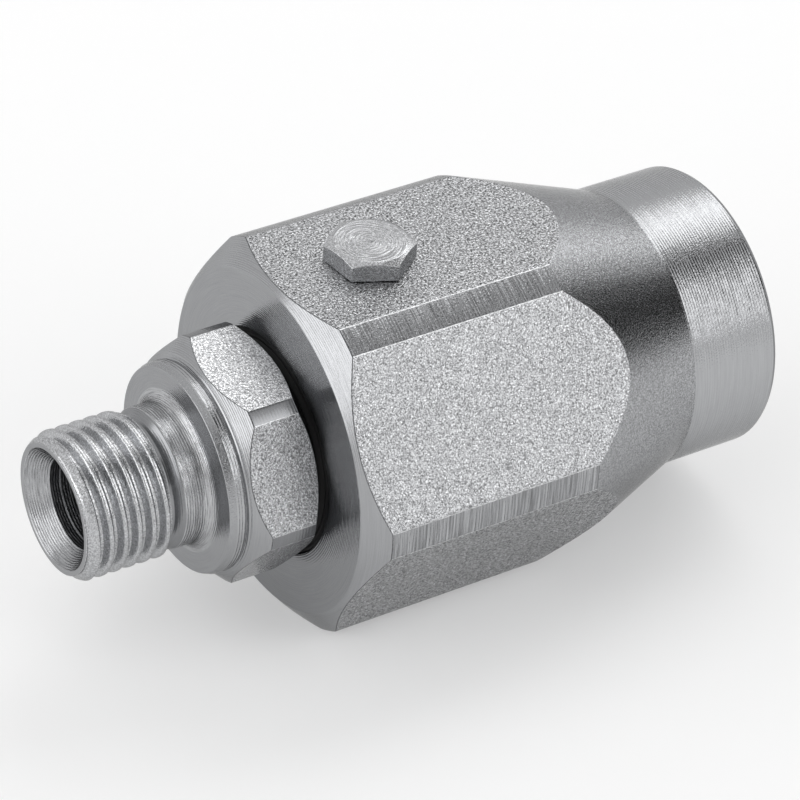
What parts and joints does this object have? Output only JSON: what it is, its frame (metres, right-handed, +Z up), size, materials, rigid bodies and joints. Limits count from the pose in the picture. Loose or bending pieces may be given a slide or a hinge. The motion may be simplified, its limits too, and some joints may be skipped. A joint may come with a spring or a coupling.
{
  "type": "hydraulic swivel joint",
  "caption": "Straight in-line hydraulic swivel joint: a hexagonal steel housing with a female port carries a rotating spindle with a hexagon and a male threaded stud.",
  "frame": {"origin": "on the common axis, where the core wall of the female port thread meets its countersink, 1.08 mm inside the port mouth", "axes": "+X along the common axis, out of the female port; the male stud points to -X; +Z up through the filler plug"},
  "size_m": [0.0657, 0.0354, 0.0339],
  "materials": {
    "zinc_steel": "bright zinc-plated turned steel",
    "plug_steel": "bright zinc-plated steel",
    "black_rubber": "black nitrile rubber",
    "white_ptfe": "white moulded plastic",
    "bronze": "sintered bronze",
    "ball_steel": "polished bearing steel"
  },
  "bodies": {
    "housing": {"housing": "zinc_steel", "wiper_seal": "black_rubber", "filler_plug": "plug_steel", "plug_seal_ring": "black_rubber", "pilot_bush": "bronze"},
    "spindle": {"spindle": "zinc_steel", "grease_o_ring": "black_rubber", "guide_ring": "white_ptfe", "main_o_ring": "black_rubber", "back_up_ring_front": "white_ptfe", "back_up_ring_rear": "white_ptfe"},
    "ball_row": {"ball_01": "ball_steel", "ball_02": "ball_steel", "ball_03": "ball_steel", "ball_04": "ball_steel", "ball_05": "ball_steel", "ball_06": "ball_steel", "ball_07": "ball_steel", "ball_08": "ball_steel", "ball_09": "ball_steel", "ball_10": "ball_steel", "ball_11": "ball_steel", "ball_12": "ball_steel", "ball_13": "ball_steel", "ball_14": "ball_steel", "ball_15": "ball_steel", "ball_16": "ball_steel", "ball_17": "ball_steel", "ball_18": "ball_steel"}
  },
  "joints": [
    {"name": "swivel", "type": "hinge", "parent": "housing", "child": "spindle", "pos_m": [-0.03442, 0, 0], "axis": [1, 0, 0], "continuous": true},
    {"name": "ball_orbit", "type": "hinge", "parent": "housing", "child": "ball_row", "pos_m": [-0.03442, 0, 0], "axis": [1, 0, 0], "continuous": true}
  ],
  "couplings": [
    {"joint": "ball_orbit", "follows": "swivel", "ratio": 0.4145}
  ]
}
